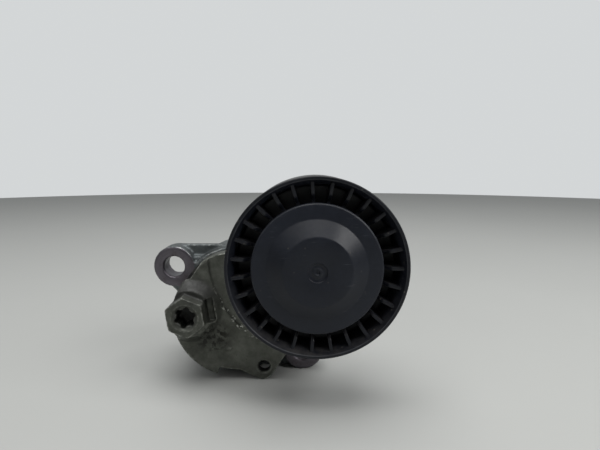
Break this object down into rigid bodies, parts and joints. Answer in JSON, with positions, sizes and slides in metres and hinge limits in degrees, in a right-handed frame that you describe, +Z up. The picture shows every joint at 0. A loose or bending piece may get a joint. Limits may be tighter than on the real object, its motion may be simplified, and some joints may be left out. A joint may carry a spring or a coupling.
{
  "type": "belt tensioner idler",
  "caption": "Spring-loaded accessory belt tensioner: a ribbed smooth idler pulley on a swinging die-cast arm, on a die-cast base with bolt ears.",
  "frame": {"origin": "on the arm's pivot axis, in the plane of the bolt ears' rear mounting faces", "axes": "+Z up as the tensioner stands on its edge, +Y along the pivot axis from the pulley towards the engine, +X to the right seen from the pulley side"},
  "size_m": [0.1028, 0.0798, 0.0876],
  "materials": {
    "cast_base": "die-cast, lightly oxidised",
    "cast_arm": "die-cast, darkened by road and oil film",
    "bush_polymer": "PTFE-filled bearing polymer",
    "damper_polymer": "glass-filled polyamide",
    "spring_steel": "oiled spring wire",
    "turned_steel": "turned",
    "zinc_steel": "zinc plated",
    "bearing_steel": "ground",
    "cage_polymer": "natural polyamide",
    "seal_rubber": "moulded nitrile rubber",
    "pulley_plastic": "satin glass-filled polyamide",
    "cap_plastic": "satin moulded polymer"
  },
  "bodies": {
    "base": {"base_housing": "cast_base", "pivot_bushing": "bush_polymer", "front_thrust_washer": "bush_polymer", "rear_thrust_washer": "bush_polymer", "damping_ring": "damper_polymer", "spring_seat": "damper_polymer", "torsion_spring": "spring_steel"},
    "arm": {"tensioner_arm": "cast_arm", "pivot_shaft": "turned_steel", "retaining_washer": "zinc_steel", "bearing_inner_ring": "bearing_steel", "bearing_sleeve": "turned_steel", "pulley_bolt": "zinc_steel", "rear_dust_shield": "zinc_steel"},
    "pulley": {"pulley": "pulley_plastic", "dust_cap": "cap_plastic", "bearing_outer_ring": "bearing_steel", "bearing_seal_front": "seal_rubber", "bearing_seal_rear": "seal_rubber"},
    "cage": {"bearing_cage": "cage_polymer", "bearing_balls": "bearing_steel"}
  },
  "joints": [
    {"name": "arm_swing", "type": "hinge", "parent": "base", "child": "arm", "pos_m": [0, 0, 0], "axis": [0, -1, 0], "range_deg": [0, 52], "stiffness_Nm_per_rad": 14, "springref_deg": -20.05, "deforming": ["torsion_spring"]},
    {"name": "pulley_spin", "type": "hinge", "parent": "arm", "child": "pulley", "pos_m": [0.033, -0.0375, 0.027], "axis": [0, -1, 0], "continuous": true},
    {"name": "cage_spin", "type": "hinge", "parent": "arm", "child": "cage", "pos_m": [0.033, -0.0375, 0.027], "axis": [0, -1, 0], "continuous": true}
  ],
  "couplings": [
    {"joint": "cage_spin", "follows": "pulley_spin", "ratio": 0.617}
  ]
}
